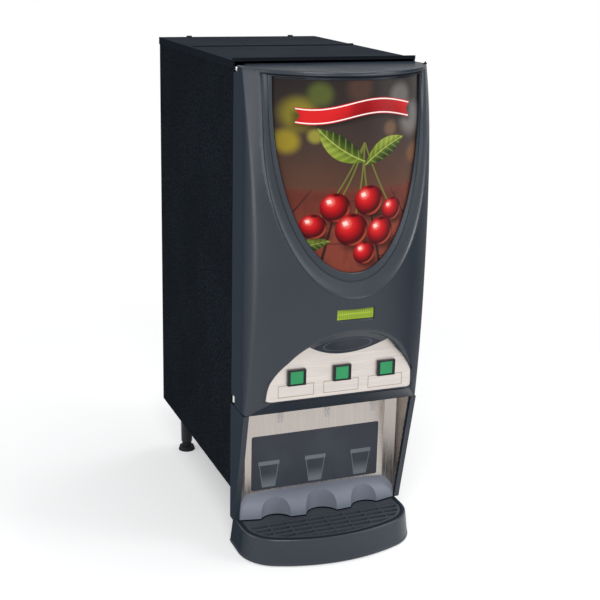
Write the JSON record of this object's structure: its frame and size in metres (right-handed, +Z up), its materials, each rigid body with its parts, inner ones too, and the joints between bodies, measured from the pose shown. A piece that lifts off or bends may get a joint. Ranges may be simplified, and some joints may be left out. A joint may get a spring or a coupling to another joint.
{
  "type": "cappuccino dispenser",
  "caption": "Counter-top powdered drink dispenser: bowed charcoal door with a dished picture panel, half-round control plate, cup bay and drip tray.",
  "frame": {"origin": "centre of the bounding box in plan, on the counter under the feet", "axes": "+X to the viewer's right when facing the door, +Y to the back, +Z up"},
  "size_m": [0.272, 0.5292, 0.7193],
  "materials": {
    "cabinet_black": "textured powder coat",
    "slate": "satin powder coat",
    "door_charcoal": "fine moulded grain",
    "rest_grey": "satin moulding",
    "black_plastic": "satin",
    "white_plastic": "food-safe moulding",
    "steel": "brushed",
    "bright_steel": "turned",
    "clear_plastic": "clear moulding",
    "smoked_plastic": "smoked moulding",
    "green_cap": "polished cap",
    "print": "back-lit translucent print",
    "badge_black": "gloss",
    "display_green": "clear window",
    "board_green": "solder resist",
    "lamp_white": "lamp tube",
    "brass": "turned",
    "motor": "satin",
    "rubber": "matt",
    "tube_silicone": "matt"
  },
  "bodies": {
    "cabinet": {"base_pan": "cabinet_black", "left_side_panel": "cabinet_black", "right_side_panel": "cabinet_black", "rear_panel": "cabinet_black", "rear_top_cover": "slate", "screws": "bright_steel", "hopper_shelf": "steel", "bulkhead": "steel", "left_wing": "door_charcoal", "right_wing": "door_charcoal", "splash_panel": "steel", "cup_rest": "rest_grey", "tray_rails": "steel", "door_hinges": "bright_steel", "lid_hinge_pin": "bright_steel", "hoppers": "smoked_plastic", "hopper_lids": "black_plastic", "auger_motors": "motor", "mixing_chambers": "white_plastic", "nozzles": "clear_plastic", "whipper_motors": "motor", "dispense_valves": "brass", "water_tubes": "tube_silicone", "hot_water_tank": "steel", "tank_lid": "steel", "heater": "steel", "inlet_valve": "brass", "control_board": "board_green", "fan_housing": "black_plastic", "cord_gland": "black_plastic", "main_switch": "black_plastic", "legs": "black_plastic", "feet": "rubber", "door_magnet": "black_plastic"},
    "door": {"door_shell": "door_charcoal", "door_liner": "white_plastic", "graphic_panel": "print", "picture_lamp": "lamp_white", "control_plate": "steel", "badge": "badge_black", "display_module": "board_green", "display_window": "display_green", "button_bezels": "black_plastic"},
    "button_1": {"button_1": "green_cap"},
    "button_2": {"button_2": "green_cap"},
    "button_3": {"button_3": "green_cap"},
    "top_lid": {"top_lid": "slate"},
    "drip_tray": {"drip_tray": "door_charcoal"},
    "drip_grille": {"drip_grille": "black_plastic"},
    "auger_1": {"auger_1": "white_plastic"},
    "auger_2": {"auger_2": "white_plastic"},
    "auger_3": {"auger_3": "white_plastic"},
    "whipper_1": {"whipper_1": "white_plastic"},
    "whipper_2": {"whipper_2": "white_plastic"},
    "whipper_3": {"whipper_3": "white_plastic"},
    "elbow_1": {"elbow_1": "white_plastic"},
    "elbow_2": {"elbow_2": "white_plastic"},
    "elbow_3": {"elbow_3": "white_plastic"},
    "fan_rotor": {"fan_rotor": "black_plastic"},
    "switch_rocker": {"switch_rocker": "black_plastic"}
  },
  "joints": [
    {"name": "door_swing", "type": "hinge", "parent": "cabinet", "child": "door", "pos_m": [-0.13, -0.13992, 0.47], "axis": [0, 0, -1], "range_deg": [0, 110]},
    {"name": "lid_lift", "type": "hinge", "parent": "cabinet", "child": "top_lid", "pos_m": [0, 0.07408, 0.7163], "axis": [-1, 0, 0], "range_deg": [0, 100]},
    {"name": "tray_slide", "type": "slide", "parent": "cabinet", "child": "drip_tray", "axis": [0, -1, 0], "range_m": [0, 0.12]},
    {"name": "grille_lift", "type": "slide", "parent": "drip_tray", "child": "drip_grille", "axis": [0, 0, 1], "range_m": [0, 0.06]},
    {"name": "button_1_press", "type": "slide", "parent": "door", "child": "button_1", "axis": [0, 1, 0], "range_m": [0, 0.003], "stiffness_N_per_m": 400},
    {"name": "button_2_press", "type": "slide", "parent": "door", "child": "button_2", "axis": [0, 1, 0], "range_m": [0, 0.003], "stiffness_N_per_m": 400},
    {"name": "button_3_press", "type": "slide", "parent": "door", "child": "button_3", "axis": [0, 1, 0], "range_m": [0, 0.003], "stiffness_N_per_m": 400},
    {"name": "auger_1_turn", "type": "hinge", "parent": "cabinet", "child": "auger_1", "pos_m": [-0.0736, 0.02858, 0.442], "axis": [0, 1, 0], "continuous": true},
    {"name": "auger_2_turn", "type": "hinge", "parent": "cabinet", "child": "auger_2", "pos_m": [0, 0.02858, 0.442], "axis": [0, 1, 0], "continuous": true},
    {"name": "auger_3_turn", "type": "hinge", "parent": "cabinet", "child": "auger_3", "pos_m": [0.0736, 0.02858, 0.442], "axis": [0, 1, 0], "continuous": true},
    {"name": "whipper_1_spin", "type": "hinge", "parent": "cabinet", "child": "whipper_1", "pos_m": [-0.0736, -0.11942, 0.278], "axis": [0, 1, 0], "continuous": true},
    {"name": "whipper_2_spin", "type": "hinge", "parent": "cabinet", "child": "whipper_2", "pos_m": [0, -0.11942, 0.278], "axis": [0, 1, 0], "continuous": true},
    {"name": "whipper_3_spin", "type": "hinge", "parent": "cabinet", "child": "whipper_3", "pos_m": [0.0736, -0.11942, 0.278], "axis": [0, 1, 0], "continuous": true},
    {"name": "elbow_1_turn", "type": "hinge", "parent": "cabinet", "child": "elbow_1", "pos_m": [-0.0736, -0.12142, 0.442], "axis": [0, 1, 0], "range_deg": [0, 180]},
    {"name": "elbow_2_turn", "type": "hinge", "parent": "cabinet", "child": "elbow_2", "pos_m": [0, -0.12142, 0.442], "axis": [0, 1, 0], "range_deg": [0, 180]},
    {"name": "elbow_3_turn", "type": "hinge", "parent": "cabinet", "child": "elbow_3", "pos_m": [0.0736, -0.12142, 0.442], "axis": [0, 1, 0], "range_deg": [0, 180]},
    {"name": "fan_spin", "type": "hinge", "parent": "cabinet", "child": "fan_rotor", "pos_m": [-0.07, 0.23458, 0.36], "axis": [0, 1, 0], "continuous": true},
    {"name": "switch_rock", "type": "hinge", "parent": "cabinet", "child": "switch_rocker", "pos_m": [-0.085, 0.24758, 0.15], "axis": [1, 0, 0], "range_deg": [0, 16]}
  ]
}
